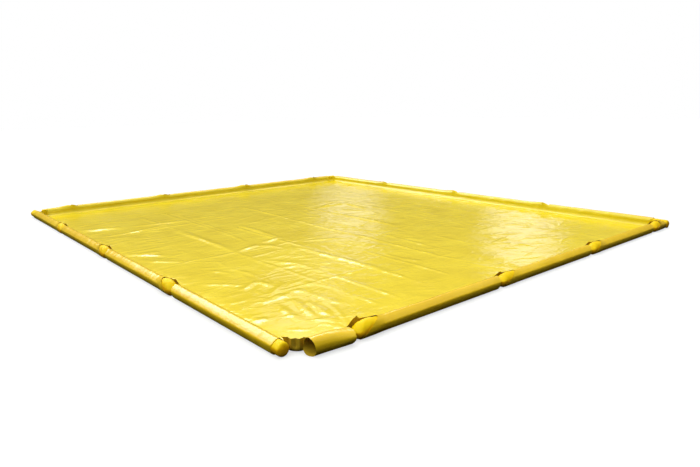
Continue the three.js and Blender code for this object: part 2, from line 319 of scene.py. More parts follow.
class Wall:
    """One side of the berm. "along" runs from its open corner, "inward" from its outer side."""

    def __init__(self, name, turn, corner, lead, count, seed):
        self.name = name
        self.direction = np.array((math.cos(turn), math.sin(turn)))
        self.inward = np.array((-math.sin(turn), math.cos(turn)))
        self.corner = np.array(corner)
        self.lead = lead
        self.seed = seed
        self.sleeves = [f"{name}_sleeve_{i + 1}" for i in range(count)]
        logs = [f"{name}_log_{i + 1}" for i in range(count)]
        self.logs = [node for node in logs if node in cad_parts]
        starts = sorted(self.span(node)[0] for node in self.logs)
        self.joints = [start for start in starts if start > 2 * WALL_THICKNESS]

    def place(self, along, inward, up):
        """Points (..., 3) in the frame."""
        x = self.corner[0] + along * self.direction[0] + inward * self.inward[0]
        y = self.corner[1] + along * self.direction[1] + inward * self.inward[1]
        return stack(x, y, up)

    def local(self, points):
        """(along, inward, up) of points in the frame."""
        flat = points[..., :2] - self.corner
        return stack(flat @ self.direction, flat @ self.inward, points[..., 2])

    def span(self, node):
        """Where a node starts and ends along this wall."""
        low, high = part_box(node)
        corners = self.local(np.array([tuple(low), tuple(high)]))
        return corners[:, 0].min(), corners[:, 0].max()

    def is_joint(self, end):
        """Whether a log's end is at a joint between two logs."""
        return any(abs(end - joint) < 0.01 for joint in self.joints)

    def swell(self, along):
        """How far the log ends have swollen at places along the wall, from 0 to 1."""
        share = np.zeros_like(np.asarray(along, float))
        for joint, most in zip(self.joints, SWELL_SHARES[self.name]):
            past = self.lead * (along - joint)
            up = smooth((past - SWELL_START) / (SWELL_FULL - SWELL_START))
            down = 1 - smooth((past - SWELL_SINK) / (SWELL_END - SWELL_SINK))
            share = np.maximum(share, most * up * down)
        return share

    def hollow(self, along):
        """1 in the empty first sleeve, and 0 past it."""
        if self.logs[0] == f"{self.name}_log_1":
            return 0.0
        return 1 - smooth((along - self.span(self.sleeves[0])[1]) / 0.03)

    def rise(self, along):
        """How much taller the empty first sleeve is."""
        low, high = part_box(self.sleeves[0])
        first, last = self.span(self.sleeves[0])
        sunk = smooth((along - first - 0.4 * (last - first)) / (0.6 * (last - first)))
        extra = (high.z - WALL_THICKNESS) * (1 - sunk) - EMPTY_SINK * sunk
        return extra * self.hollow(along)

    def sag(self, along):
        """How far the empty first sleeve has sagged outwards."""
        if self.logs[0] == f"{self.name}_log_1":
            return 0.0
        first, last = self.span(self.sleeves[0])
        return EMPTY_SAG * smooth((along - first) / (last - first)) * (along < last + 0.05)

    def tube(self, along, angle, offset=0.0):
        """(inward, up) of the outer side of the sleeves, over the notches too, moved outwards by an
        offset. The angle is 0 at the inner side and a quarter turn at the top."""
        cos, sin = np.cos(angle), np.sin(angle)
        around = stack(along * np.ones_like(angle), TUBE_RADIUS * cos, TUBE_RADIUS * sin)
        free = smooth((sin + 0.75) / 0.5)
        slack = SLACK * value_noise(around, 0.11, self.seed)
        slack += 1.2 * SLACK * value_noise(around, 0.4, self.seed + 1)
        hoops = around * (1.0, 0.35, 0.35)
        slack += HOOP_WRINKLE * (ridged_noise(hoops, 0.07, self.seed + 2, 5) - 0.4) * 0.5
        beside = np.abs(angle - CREASE_ANGLE - 0.12 * value_noise(around, 0.5, self.seed + 3))
        slack += CREASE_HEIGHT * np.exp(-beside / CREASE_WIDTH)
        swell = self.swell(along)
        radius_in = TUBE_RADIUS
        radius_out = TUBE_RADIUS + SLEEVE_SWELL_OUT * swell + self.sag(along)
        radius_up = TUBE_RADIUS + SLEEVE_SWELL_UP * swell + self.rise(along) * (1 - swell)
        flat = flattened(angle)
        flat = flat + (1 - flat) * np.maximum(swell, self.hollow(along)) + squat(angle)
        reach_in = np.where(cos > 0, radius_in, radius_out) * flat + offset + slack * free
        reach_up = np.where(sin > 0, radius_up, TUBE_RADIUS) * flat + offset + slack * free
        inward = TUBE_RADIUS + reach_in * cos
        up = TUBE_RADIUS + reach_up * sin
        return inward, np.maximum(up, 0.0)


low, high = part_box("left_sleeve_1")
WALL_THICKNESS = high.x - low.x
TUBE_RADIUS = WALL_THICKNESS / 2
low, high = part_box("left_log_1")
LOG_RADIUS = (high.z - low.z) / 2
LOG_BOTTOM = low.z

QUARTER = math.pi / 2
WALLS = [
    Wall("front", 0, (cad_low.x, cad_low.y), 1, 5, 100),
    Wall("right", QUARTER, (cad_high.x, cad_low.y), 1, 4, 200),
    Wall("back", math.pi, (cad_high.x, cad_high.y), 1, 5, 300),
    Wall("left", -QUARTER, (cad_low.x, cad_high.y), -1, 4, 400),
]


# Meshes


def grid_faces(rows, columns, offset, wrap):
    """Quads of a grid of points, whose last column may join its first."""
    i = np.arange(rows - 1)[:, None]
    j = np.arange(columns if wrap else columns - 1)[None, :]
    after = (j + 1) % columns
    corners = (
        i * columns + j,
        (i + 1) * columns + j,
        (i + 1) * columns + after,
        i * columns + after,
    )
    return np.stack([c.ravel() for c in np.broadcast_arrays(*corners)], axis=1) + offset


def make_mesh(name, points, quads, material):
    """A mesh object from points and quads, turned so that its faces look out."""
    a, b, c, d = (points[quads[:, k]] for k in range(4))
    volume = (np.cross(b - a, c - a) * a).sum() + (np.cross(c - a, d - a) * a).sum()
    if volume < 0:
        quads = quads[:, ::-1]
    mesh = bpy.data.meshes.new(name)
    mesh.vertices.add(len(points))
    mesh.vertices.foreach_set("co", points.astype(np.float32).ravel())
    mesh.loops.add(quads.size)
    mesh.loops.foreach_set("vertex_index", quads.astype(np.int32).ravel())
    mesh.polygons.add(len(quads))
    mesh.polygons.foreach_set("loop_start", np.arange(0, quads.size, 4, dtype=np.int32))
    mesh.update(calc_edges=True)
    mesh.validate()
    mesh.shade_smooth()
    mesh.set_sharp_from_angle(angle=math.radians(50))
    mesh.materials.append(material)
    piece = bpy.data.objects.new(name, mesh)
    bpy.context.scene.collection.objects.link(piece)
    return piece


def sheet_mesh(name, outer, inner, material, wrap=False, back=None):
    """A closed thin sheet between two like grids of points. Its inner face may be another material,
    such as the painted-shade copy of the sheet."""
    rows, columns = outer.shape[:2]
    count = rows * columns
    points = np.concatenate([outer.reshape(-1, 3), inner.reshape(-1, 3)])
    quads = [grid_faces(rows, columns, 0, wrap)]
    quads.append(grid_faces(rows, columns, count, wrap)[:, ::-1])
    index = np.arange(count).reshape(rows, columns)
    rims = [(index[0], wrap), (index[-1][::-1], wrap)]
    if not wrap:
        rims += [(index[:, 0][::-1], False), (index[:, -1], False)]
    for rim, closed in rims:
        after = np.roll(rim, -1)
        if not closed:
            rim, after = rim[:-1], after[:-1]
        quads.append(np.stack([rim, after, after + count, rim + count], axis=1))
    piece = make_mesh(name, points, np.concatenate(quads), material)
    if back is not None:
        piece.data.materials.append(back)
        side = np.zeros(len(piece.data.polygons), dtype=np.int32)
        side[len(quads[0]) : 2 * len(quads[0])] = 1
        piece.data.polygons.foreach_set("material_index", side)
    return piece


# Materials


def new_material(name):
    material = bpy.data.materials.new(name)
    material.use_nodes = True
    nodes, links = material.node_tree.nodes, material.node_tree.links
    return material, nodes, links, nodes["Principled BSDF"]


def noise_node(nodes, links, coordinates, scale, detail, distortion=0.0):
    node = nodes.new("ShaderNodeTexNoise")
    node.inputs["Scale"].default_value = scale
    node.inputs["Detail"].default_value = detail
    node.inputs["Distortion"].default_value = distortion
    links.new(coordinates, node.inputs["Vector"])
    return node.outputs["Fac"]


def ramp_node(nodes, links, value, stops):
    node = nodes.new("ShaderNodeValToRGB")
    elements = node.color_ramp.elements
    while len(elements) < len(stops):
        elements.new(0.5)
    for element, (position, colour) in zip(elements, stops):
        element.position = position
        element.color = (*colour, 1)
    links.new(value, node.inputs["Fac"])
    return node.outputs["Color"]


def bump_node(nodes, links, height, distance, strength, normal=None):
    node = nodes.new("ShaderNodeBump")
    node.inputs["Distance"].default_value = distance
    node.inputs["Strength"].default_value = strength
    links.new(height, node.inputs["Height"])
    if normal is not None:
        links.new(normal, node.inputs["Normal"])
    return node.outputs["Normal"]


def range_node(nodes, links, value, low, high):
    node = nodes.new("ShaderNodeMapRange")
    node.inputs["From Min"].default_value = 0.3
    node.inputs["From Max"].default_value = 0.7
    node.inputs["To Min"].default_value = low
    node.inputs["To Max"].default_value = high
    links.new(value, node.inputs["Value"])
    return node.outputs["Result"]


def crease_node(nodes, links, place):
    """Straight, branching creases in patches, from 0 to 1."""
    wander = nodes.new("ShaderNodeMath")
    wander.operation = "MULTIPLY"
    wander.inputs[1].default_value = 0.25
    links.new(noise_node(nodes, links, place, 1.3, 2), wander.inputs[0])
    bent = nodes.new("ShaderNodeVectorMath")
    bent.operation = "ADD"
    links.new(place, bent.inputs[0])
    links.new(wander.outputs[0], bent.inputs[1])
    total = None
    for scale, turn, stretch, share in ((2.3, 0.7, 1.9, 1.0), (5.2, -0.5, 2.2, 0.5)):
        turned = nodes.new("ShaderNodeMapping")
        turned.inputs["Rotation"].default_value = (0, 0, turn)
        turned.inputs["Scale"].default_value = (1, stretch, 1)
        links.new(bent.outputs[0], turned.inputs["Vector"])
        cells = nodes.new("ShaderNodeTexVoronoi")
        cells.feature = "DISTANCE_TO_EDGE"
        cells.inputs["Scale"].default_value = scale
        links.new(turned.outputs["Vector"], cells.inputs["Vector"])
        ridge = nodes.new("ShaderNodeMapRange")
        ridge.interpolation_type = "SMOOTHSTEP"
        ridge.inputs["From Max"].default_value = 0.16
        ridge.inputs["To Min"].default_value = share
        ridge.inputs["To Max"].default_value = 0.0
        links.new(cells.outputs["Distance"], ridge.inputs["Value"])
        patches = noise_node(nodes, links, turned.outputs["Vector"], 0.8 * scale, 1)
        lively = nodes.new("ShaderNodeMath")
        lively.operation = "MULTIPLY"
        links.new(ridge.outputs["Result"], lively.inputs[0])
        links.new(range_node(nodes, links, patches, 0.0, 1.0), lively.inputs[1])
        if total is None:
            total = lively.outputs[0]
        else:
            both = nodes.new("ShaderNodeMath")
            both.operation = "ADD"
            links.new(total, both.inputs[0])
            links.new(lively.outputs[0], both.inputs[1])
            total = both.outputs[0]
    return total


def sheet_material(name, tones, roughness, crumple, creases=0.0, specular=0.5):
    """Coated sheet: cloudy colour, worn and smooth patches, and a crumpled, finely grained skin."""
    material, nodes, links, shader = new_material(name)
    place = nodes.new("ShaderNodeTexCoord").outputs["Object"]
    clouds = noise_node(nodes, links, place, 2.2, 6, 0.6)
    links.new(ramp_node(nodes, links, clouds, tones), shader.inputs["Base Color"])
    patches = noise_node(nodes, links, place, 5.5, 4)
    links.new(range_node(nodes, links, patches, *roughness), shader.inputs["Roughness"])
    shader.inputs["Specular IOR Level"].default_value = specular
    folds = noise_node(nodes, links, place, 5, 3, 1.0)
    wrinkles = noise_node(nodes, links, place, 26, 2, 0.8)
    grain = noise_node(nodes, links, place, 420, 2)
    normal = bump_node(nodes, links, crease_node(nodes, links, place), creases, 1.0)
    normal = bump_node(nodes, links, folds, 0.016 * crumple, 0.6, normal)
    normal = bump_node(nodes, links, wrinkles, 0.0016 * crumple, 0.6, normal)
    normal = bump_node(nodes, links, grain, 0.0001, 0.5, normal)
    links.new(normal, shader.inputs["Normal"])
    return material


def paint_side_shade(material, tint):
    """Painted shade: multiply a material's colour by a tint on faces that don't look up, fully on
    level and downward faces.
    """
    nodes, links = material.node_tree.nodes, material.node_tree.links
    colour = nodes["Principled BSDF"].inputs["Base Color"]
    facing = nodes.new("ShaderNodeSeparateXYZ")
    links.new(nodes.new("ShaderNodeNewGeometry").outputs["Normal"], facing.inputs["Vector"])
    side = nodes.new("ShaderNodeMapRange")
    side.interpolation_type = "SMOOTHSTEP"
    side.inputs["From Min"].default_value = 0.75
    side.inputs["From Max"].default_value = 0.0
    links.new(facing.outputs["Z"], side.inputs["Value"])
    mix = nodes.new("ShaderNodeMix")
    mix.data_type = "RGBA"
    mix.blend_type = "MULTIPLY"
    mix.inputs["B"].default_value = (*tint, 1)
    links.new(side.outputs["Result"], mix.inputs["Factor"])
    links.new(colour.links[0].from_socket, mix.inputs["A"])
    links.new(mix.outputs["Result"], colour)


floor_sheet_material = sheet_material(
    "floor_sheet",
    [(0.3, (0.84, 0.63, 0.010)), (0.5, (0.90, 0.685, 0.014)), (0.7, (0.94, 0.73, 0.022))],
    (0.08, 0.17),
    0.5,
    creases=0.0020,
    specular=0.5,
)
wall_sheet_material = sheet_material(
    "wall_sheet",
    [(0.3, (0.85, 0.53, 0.006)), (0.5, (0.90, 0.585, 0.009)), (0.7, (0.94, 0.63, 0.014))],
    (0.16, 0.26),
    0.7,
    creases=0.0012,
    specular=0.33,
)
# Painted shade: the skirts and gussets are the floor's own sheet, made darker here to dim the inner
# faces of the walls
skirt_shaded_sheet_material = sheet_material(
    "skirt_shaded_sheet",
    [(0.3, (0.75, 0.58, 0.010)), (0.5, (0.81, 0.63, 0.014)), (0.7, (0.86, 0.675, 0.022))],
    (0.12, 0.22),
    0.7,
    creases=0.002,
    specular=0.3,
)
# Painted shade: the reverse face of the sheets is a darker, browner copy of the same yellow sheet,
# standing in for the shade inside the sleeves and behind the skirts' flaps and gussets
painted_shade_back_material = sheet_material(
    "painted_shade_back",
    [(0.3, (0.44, 0.275, 0.012)), (0.5, (0.54, 0.345, 0.016)), (0.7, (0.62, 0.41, 0.024))],
    (0.4, 0.6),
    0.8,
    specular=0.3,
)
log_film_material = sheet_material(
    "log_film",
    [(0.3, (0.95, 0.61, 0.001)), (0.5, (0.97, 0.65, 0.002)), (0.7, (0.99, 0.69, 0.003))],
    (0.4, 0.55),
    1.2,
    specular=0.1,
)
# Painted shade: the film's sides and bottom are tinted a deeper orange than its top, standing in for
# the film in shade
paint_side_shade(log_film_material, (1.0, 0.74, 0.8))


# Sleeves


def end_lines(wall, node):
    """The start and end of a sleeve along its wall, as functions of the angle round it."""
    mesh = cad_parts[node].data
    points = wall.local(np.array([v.co for v in mesh.vertices], float).reshape(-1, 3))
    angle = np.arctan2(points[:, 2] - TUBE_RADIUS, points[:, 1] - TUBE_RADIUS)
    middle = (points[:, 0].min() + points[:, 0].max()) / 2
    lines = []
    for side in (points[:, 0] < middle, points[:, 0] > middle):
        order = np.argsort(angle[side])
        lines.append((angle[side][order], points[side, 0][order]))
    return lines


def build_sleeve(wall, node):
    sides = np.arange(SLEEVE_SIDES) / SLEEVE_SIDES * 2 * math.pi
    (first_angle, first_along), (last_angle, last_along) = end_lines(wall, node)
    first = np.interp(sides, first_angle, first_along, period=2 * math.pi)
    last = np.interp(sides, last_angle, last_along, period=2 * math.pi)
    edge = stack(np.cos(sides) * 0.05, np.sin(sides) * 0.05, 0 * sides)
    first = first + 0.004 * value_noise(edge, 0.02, wall.seed + len(node))
    last = last - 0.004 * value_noise(edge, 0.02, wall.seed + 2 * len(node))
    if node == wall.sleeves[0] and np.any(wall.hollow(first)):
        outer, lip = np.cos(sides - math.radians(200)), np.cos(sides - math.radians(320))
        first = first + 0.008 + 0.012 * np.maximum(outer, 0) - 0.012 * np.maximum(lip, 0)
        last = last - 0.014 * np.maximum(np.sin(sides), 0)
    rows = int((last - first).max() / SLEEVE_STEP) + 1
    share = np.linspace(0, 1, rows)[:, None]
    along = first + (last - first) * share
    angle = np.broadcast_to(sides, along.shape)
    outer = wall.place(along, *wall.tube(along, angle))
    inward, up = wall.tube(along, angle, -SHEET)
    inner = wall.place(along, inward, np.maximum(up, SHEET))
    piece = sheet_mesh(
        node + "_cover", outer, inner, wall_sheet_material, wrap=True, back=painted_shade_back_material
    )
    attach(piece, "berm")
    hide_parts(node)
    return piece


# Logs


def dome(past, reach):
    """How wide a log is at a distance from its end, from 0 to 1, where the end is round."""
    return np.sqrt(np.clip(1 - (1 - np.clip(past / reach, 0, 1)) ** 2, 0, 1))


def build_log(wall, node):
    first, last = wall.span(node)
    if node == wall.logs[-1]:
        last -= CORNER_CUT
    near = wall.lead > 0 and wall.is_joint(first)
    far = wall.lead < 0 and wall.is_joint(last)
    first += DOME_CUT if near else 0
    last -= DOME_CUT if far else 0
    ends = np.concatenate([LOG_TIP_ROWS, np.arange(0.01, LOG_END_ZONE, LOG_END_STEP)])
    middle = np.arange(first + LOG_END_ZONE, last - LOG_END_ZONE, LOG_STEP)
    along = np.concatenate([first + ends, middle, last - ends[::-1]])[:, None]
    sides = np.arange(LOG_SIDES) / LOG_SIDES * 2 * math.pi
    cos, sin = np.cos(sides), np.sin(sides)
    at_first, at_last = along - first, last - along
    first_end = DOME_END if near else CORNER_END if first < WALL_THICKNESS else PLAIN_END
    last_end = DOME_END if far else CORNER_END if node == wall.logs[-1] else PLAIN_END
    top = dome(at_first, first_end[0]) * dome(at_last, last_end[0])
    side = dome(at_first, first_end[1]) * dome(at_last, last_end[1])
    own = at_first < at_last if wall.lead > 0 else at_last < at_first
    swell = wall.swell(along) * own
    around = stack(along * np.ones_like(cos), LOG_RADIUS * cos, LOG_RADIUS * sin)
    folds = ridged_noise(around * (1, 0.6, 0.6), 0.05, wall.seed + 7, 4) - 0.25
    folds = folds * (0.0008 + 0.004 * swell) * smooth((sin + 0.8) / 0.5)
    flat = flattened(sides)
    flat = flat + (1 - flat) * swell
    reach_out = (LOG_RADIUS + LOG_SWELL_OUT * swell) * flat - folds
    reach_in = LOG_RADIUS + LOG_SWELL_IN * swell
    reach_up = (LOG_RADIUS + LOG_SWELL_UP * swell) * flat - folds
    inward = TUBE_RADIUS + np.where(cos > 0, reach_in, reach_out) * cos * side
    lift = np.where(sin > 0, reach_up * np.minimum(top, side ** 0.5), LOG_RADIUS * side) * sin
    up = LOG_BOTTOM + LOG_RADIUS + lift
    points = wall.place(along * np.ones_like(up), inward, up)
    rows = len(along)
    count = rows * LOG_SIDES
    caps = np.stack([points[0].mean(axis=0), points[-1].mean(axis=0)])
    quads = [grid_faces(rows, LOG_SIDES, 0, True)]
    for row, cap, flip in ((0, count, False), (rows - 1, count + 1, True)):
        ring = row * LOG_SIDES + np.arange(0, LOG_SIDES, 2)
        after = ring + 1
        last_corner = row * LOG_SIDES + (np.arange(0, LOG_SIDES, 2) + 2) % LOG_SIDES
        fan = np.stack([ring, after, last_corner, np.full(len(ring), cap)], axis=1)
        quads.append(fan[:, ::-1] if flip else fan)
    everything = np.concatenate([points.reshape(-1, 3), caps])
    piece = make_mesh(node + "_film", everything, np.concatenate(quads), log_film_material)
    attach(piece, node)
    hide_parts(node)
    return piece


# Skirts and gussets

# The skirts turn up in a wider bend than the frame's, and lap the floor out to the same line. The
# gussets keep the frame's turn in their middle
SKIRT_TURN, GUSSET_TURN = 0.056, 0.04
CROWN_ANGLE = math.radians(52.5)
low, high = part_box("front_skirt")
PEAK_HEIGHT = high.z
PEAK_LEAD, PEAK_DROP, PEAK_SETTLE = 0.110, 0.012, 0.060
SKIRT_FOOT = WALL_THICKNESS + WELD_GAP + GUSSET_TURN + 0.025
LAP_BOTTOM = SHEET + WELD_GAP


def peak_share(wall, along):
    """How far the skirt's free edge has left the logs, from 0 to 1 at the tallest peak."""
    share = np.zeros_like(along)
    for joint, most in zip(wall.joints, PEAK_SHARES[wall.name]):
        past = wall.lead * (along - joint)
        climb = np.clip(past / PEAK_LEAD, 0, 1) ** 1.4
        fall = np.clip(1 - (past - PEAK_LEAD) / PEAK_DROP, 0, 1)
        settle = 0.22 * (1 - smooth((past - PEAK_LEAD - PEAK_DROP) / PEAK_SETTLE))
        own = np.where(past > PEAK_LEAD, np.maximum(fall, settle), climb)
        share = np.maximum(share, most * own)
    return share


def skirt_section(wall, along, share, thickness, turn_radius, top):
    """(inward, up) of a skirt's face, (stations, points): its lap, its turn and its wrap. A share
    of 1 stands it upright to the top."""
    one = np.ones((len(along), 1))
    turn_radius, share = turn_radius * one, share[:, None]
    foot = WALL_THICKNESS + WELD_GAP + turn_radius
    lap_in = SKIRT_FOOT + (foot - SKIRT_FOOT) * np.linspace(0, 1, 4)[None, :-1]
    lap_up = np.full_like(lap_in, LAP_BOTTOM + thickness)
    turn = np.linspace(0, QUARTER, 9)[None, :]
    radius = turn_radius - thickness
    turn_in = foot - radius * np.sin(turn)
    turn_up = LAP_BOTTOM + turn_radius - radius * np.cos(turn)
    steps = np.linspace(0.05, 1, 14)[None, :]
    start = np.arcsin(np.clip((turn_up[:, -1:] - TUBE_RADIUS) / TUBE_RADIUS, -1, 1))
    wrap_in, wrap_up = wall.tube(
        along[:, None], start + steps * (CROWN_ANGLE - start), WELD_GAP + thickness
    )
    straight_in = WALL_THICKNESS + WELD_GAP + thickness
    wrap_in = np.where(wrap_up < TUBE_RADIUS, straight_in, wrap_in)
    upright = turn_up[:, -1:] + steps * (top - turn_up[:, -1:])
    wrap_in = wrap_in + (straight_in - wrap_in) * share
    wrap_up = wrap_up + (upright - wrap_up) * share
    inward = np.concatenate([lap_in, turn_in, wrap_in], axis=1)
    up = np.concatenate([lap_up, turn_up, wrap_up], axis=1)
    return inward, up


def build_skirt(wall):
    node = f"{wall.name}_skirt"
    first, last = wall.span(node)
    along = np.linspace(first, last, int((last - first) / SKIRT_STEP))
    extra = []
    for joint in wall.joints:
        extra += [joint + wall.lead * (PEAK_LEAD + d) for d in (0, 0.5 * PEAK_DROP, PEAK_DROP)]
    along = np.unique(np.concatenate([along, extra]))
    share = peak_share(wall, along)
    faces = []
    for thickness in (SHEET, 0.0):
        inward, up = skirt_section(wall, along, share, thickness, SKIRT_TURN, PEAK_HEIGHT * 1.03)
        grid = stack(along[:, None] * np.ones_like(up), inward, up)
        slack = 0.0024 * (1 + value_noise(grid, 0.06, wall.seed + 11))
        body = smooth((up - 0.006) / 0.03)
        edge = np.linspace(1, 0, up.shape[1])[None, :] * 3
        hug = share[:, None] + (1 - share[:, None]) * smooth(edge)
        inward = inward + slack * body * hug
        faces.append(wall.place(grid[..., 0], inward, up))
    piece = sheet_mesh(
        node + "_cover", faces[0], faces[1], skirt_shaded_sheet_material, back=painted_shade_back_material
    )
    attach(piece, "berm")
    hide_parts(node)
    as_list(wall.sleeves)
    return piece


def build_gusset(wall):
    node = f"{wall.name}_corner_gusset"
    reach = wall.span(f"{wall.name}_skirt")[0] - WELD_GAP
    steps = 16 * GUSSET_PLEATS
    angle = np.linspace(QUARTER, 0, steps + 1)
    phase = np.linspace(0, GUSSET_PLEATS, steps + 1)
    fold = 1 - np.abs(2 * (phase % 1) - 1)
    from_end = np.minimum(np.linspace(0, 1, steps + 1), np.linspace(1, 0, steps + 1))
    fold = fold * np.minimum(1, 8 * from_end)
    faces = []
    middle = smooth(4 * np.minimum(phase, GUSSET_PLEATS - phase) / GUSSET_PLEATS)
    turn_radius = SKIRT_TURN + (GUSSET_TURN - SKIRT_TURN) * middle[:, None]
    for thickness in (SHEET, 0.0):
        inward, up = skirt_section(
            wall, np.full(steps + 1, reach), middle, thickness, turn_radius, GUSSET_TOP
        )
        free = smooth((up - LAP_BOTTOM) / 0.05)
        inward = inward + GUSSET_PLEAT_DEPTH * fold[:, None] * free
        radius = reach - inward
        faces.append(
            wall.place(
                reach - radius * np.cos(angle)[:, None],
                reach - radius * np.sin(angle)[:, None],
                up,
            )
        )
    piece = sheet_mesh(
        node + "_cover", faces[0], faces[1], skirt_shaded_sheet_material, back=painted_shade_back_material
    )
    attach(piece, "berm")
    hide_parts(node)
    return piece


# Floor sheet


def fold_ridges(across, along, folds, seed):
    """Height of the packing folds that run along one direction."""
    height = np.zeros_like(across)
    for number, (place, start, end, peak) in enumerate(folds):
        line = stack(along, np.full_like(along, place), np.full_like(along, number))
        wander = FOLD_WANDER * value_noise(line, 0.7, seed + number)
        wander += 0.3 * FOLD_WANDER * value_noise(line, 0.17, seed + 50 + number)
        beside = np.abs(across - place - wander) / FOLD_HALF_WIDTH
        inside = np.minimum(along - start, end - along) / FOLD_RUN_IN
        lively = 0.75 + 0.35 * value_noise(line, 0.25, seed + 90 + number)
        ridge = np.clip(1 - beside, 0, 1) ** 1.25
        height = np.maximum(height, FOLD_RAISE * peak * ridge * smooth(inside) * lively)
    return height


def add_crease(height, x, y, centre, turn, half, bow, peak, width, left_width):
    """Raise a grid of heights to one bowed crease."""
    rows = np.nonzero(np.abs(x[:, 0] - centre[0]) < half + 0.1)[0]
    columns = np.nonzero(np.abs(y[0] - centre[1]) < half + 0.1)[0]
    if not len(rows) or not len(columns):
        return
    window = np.s_[rows[0] : rows[-1] + 1, columns[0] : columns[-1] + 1]
    dx, dy = x[window] - centre[0], y[window] - centre[1]
    ahead = (dx * math.cos(turn) + dy * math.sin(turn)) / half
    beside = dy * math.cos(turn) - dx * math.sin(turn) - bow * (1 - ahead ** 2)
    reach = np.where(beside > 0, left_width, width)
    ridge = np.clip(1 - np.abs(beside) / reach, 0, 1) ** 1.2
    ends = np.clip(1 - np.abs(ahead), 0, 1) ** 0.6
    height[window] = np.maximum(height[window], peak * ridge * ends)


def floor_place(pixel):
    """The place on the floor that a pixel of the photo shows, from the berm's front corner."""
    axis_x, axis_y, forward = camera_axes()
    across, down = (np.array(pixel) - PHOTO_CENTRE) * SENSOR_WIDTH / CAMERA_LENS / PHOTO_WIDTH
    ray = forward + across * axis_x - down * axis_y
    return (np.array(CAMERA_FROM_CORNER) - ray * CAMERA_FROM_CORNER[2] / ray[2])[:2]


def placed_crease(corner, zoom, flat_rule, widest, pick):
    """A picked crease on the floor: start, end, bow of the middle to the left, height and half
    width. Its steep right side faces the camera."""
    start, end, sag, width, share = pick
    ends = np.array((start, end)) / zoom + corner
    first, last, bent = map(floor_place, (*ends, ends.mean(axis=0) + (0, sag / zoom)))
    along = (last - first) / np.linalg.norm(last - first)
    left = np.array((-along[1], along[0]))
    bow = (bent - (first + last) / 2) @ left
    away = (first + last) / 2 - CAMERA_FROM_CORNER[:2]
    distance, height = np.linalg.norm(away), CAMERA_FROM_CORNER[2]
    facing = left @ away / distance
    if facing < 0:
        first, last, left, bow, facing = last, first, -left, -bow, -facing
    angle = math.atan2(height, distance)
    narrowest, slope = flat_rule if angle < FAR_ANGLE else NEAR_CREASE
    seen = math.hypot(facing * math.sin(angle), math.sqrt(max(0, 1 - facing ** 2)))
    pixel = math.hypot(distance, height) * SENSOR_WIDTH / CAMERA_LENS / PHOTO_WIDTH
    half = width * pixel / max(seen, LEAST_SEEN_WIDTH)
    half = min(max(half, narrowest), widest)
    tilt = math.radians(slope) * share / max(facing, LEAST_FACING)
    peak = min(half * math.tan(tilt), TALLEST_CREASE)
    first, last = np.round(first + left * half / 2, 2), np.round(last + left * half / 2, 2)
    return first, last, round(bow, 3), round(peak, 4), round(half, 3)


def bright_creases():
    """All the picked creases."""
    for *crop, picks in CREASE_PICKS:
        for pick in picks:
            yield placed_crease(*crop, pick)


def straight_creases(x, y):
    """Height of the bright creases, and of the patches of short straight ones."""
    height = np.zeros_like(x)
    for start, end, bow, peak, width in bright_creases():
        along = np.subtract(end, start)
        centre = np.add(start, end) / 2
        turn = math.atan2(along[1], along[0])
        half = 0.6 * math.hypot(along[0], along[1])
        add_crease(height, x, y, centre, turn, half, bow, peak, width, GENTLE_SIDE * width)
    chance = np.random.default_rng(811)
    for middle, reach, count, heading, spread, longest, tallest in CREASE_PATCHES:
        for _ in range(count):
            centre = np.array(middle) + reach * np.clip(chance.normal(0, 0.5, 2), -1, 1)
            turn = math.radians(heading + spread * chance.uniform(-1, 1))
            half = 0.5 * longest * chance.uniform(0.3, 1)
            peak = tallest * chance.uniform(0.4, 1)
            bow = chance.uniform(-0.15, 0.15)
            width = CREASE_HALF_WIDTH * chance.uniform(0.75, 1.5)
            add_crease(height, x, y, centre, turn, half, bow * half, peak, width, width)
    return height


def floor_height(x, y):
    """Height of the floor sheet's underside, at distances from the outer sides of the left and
    front walls."""
    width = cad_high.x - cad_low.x
    length = cad_high.y - cad_low.y
    ground = stack(x, y, 0 * x)
    height = fold_ridges(x, y, LENGTH_FOLDS, 500)
    height = np.maximum(height, fold_ridges(y, x, CROSS_FOLDS, 600))
    swells = 0.0060 * (0.5 + 0.5 * value_noise(ground, 0.55, 701)) ** 1.5
    swells += 0.0026 * (0.5 + 0.5 * value_noise(ground, 0.19, 702)) ** 1.5
    warp = stack(
        x + 0.12 * value_noise(ground, 0.5, 703), y + 0.12 * value_noise(ground, 0.5, 704), 0 * x
    )
    creases = ridged_noise(warp, 0.42, 705, 7) * smooth(0.5 + value_noise(ground, 0.9, 706))
    crumpled = smooth(0.5 + 0.8 * value_noise(ground, 1.1, 708))
    creases = 0.0016 * creases + 0.0006 * crumpled * ridged_noise(warp, 0.17, 707, 6)
    height = np.maximum(height, straight_creases(x, y))
    edge = np.minimum(np.minimum(x, width - x), np.minimum(y, length - y))
    return (height + swells + creases) * smooth((edge - SKIRT_FOOT) / 0.09)


def build_floor():
    node = "floor_sheet"
    low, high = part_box(node)
    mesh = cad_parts[node].data
    points = np.array([v.co for v in mesh.vertices], float).reshape(-1, 3)
    at_front = points[points[:, 1] < low.y + 0.001]
    cut = at_front[:, 0].min() - low.x
    width, length = high.x - low.x, high.y - low.y
    xs = np.linspace(0, width, int(width / FLOOR_STEP))
    ys = np.linspace(0, length, int(length / FLOOR_STEP))
    ys = np.unique(np.concatenate([ys, [cut, length - cut]]))
    inset = np.maximum(cut - np.minimum(ys, length - ys), 0)[None, :]
    x = low.x + inset + (xs[:, None] / width) * (width - 2 * inset)
    y = low.y + ys[None, :] + 0 * x
    height = floor_height(x - cad_low.x, y - cad_low.y)
    top, bottom = stack(x, y, height + SHEET), stack(x, y, height)
    piece = sheet_mesh(node + "_cover", top, bottom, floor_sheet_material)
    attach(piece, "berm")
    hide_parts(node)
    return piece


build_floor()
for wall in WALLS:
    for node in wall.sleeves:
        build_sleeve(wall, node)
    for node in wall.logs:
        build_log(wall, node)
    build_skirt(wall)
    build_gusset(wall)


# Stage, light and camera


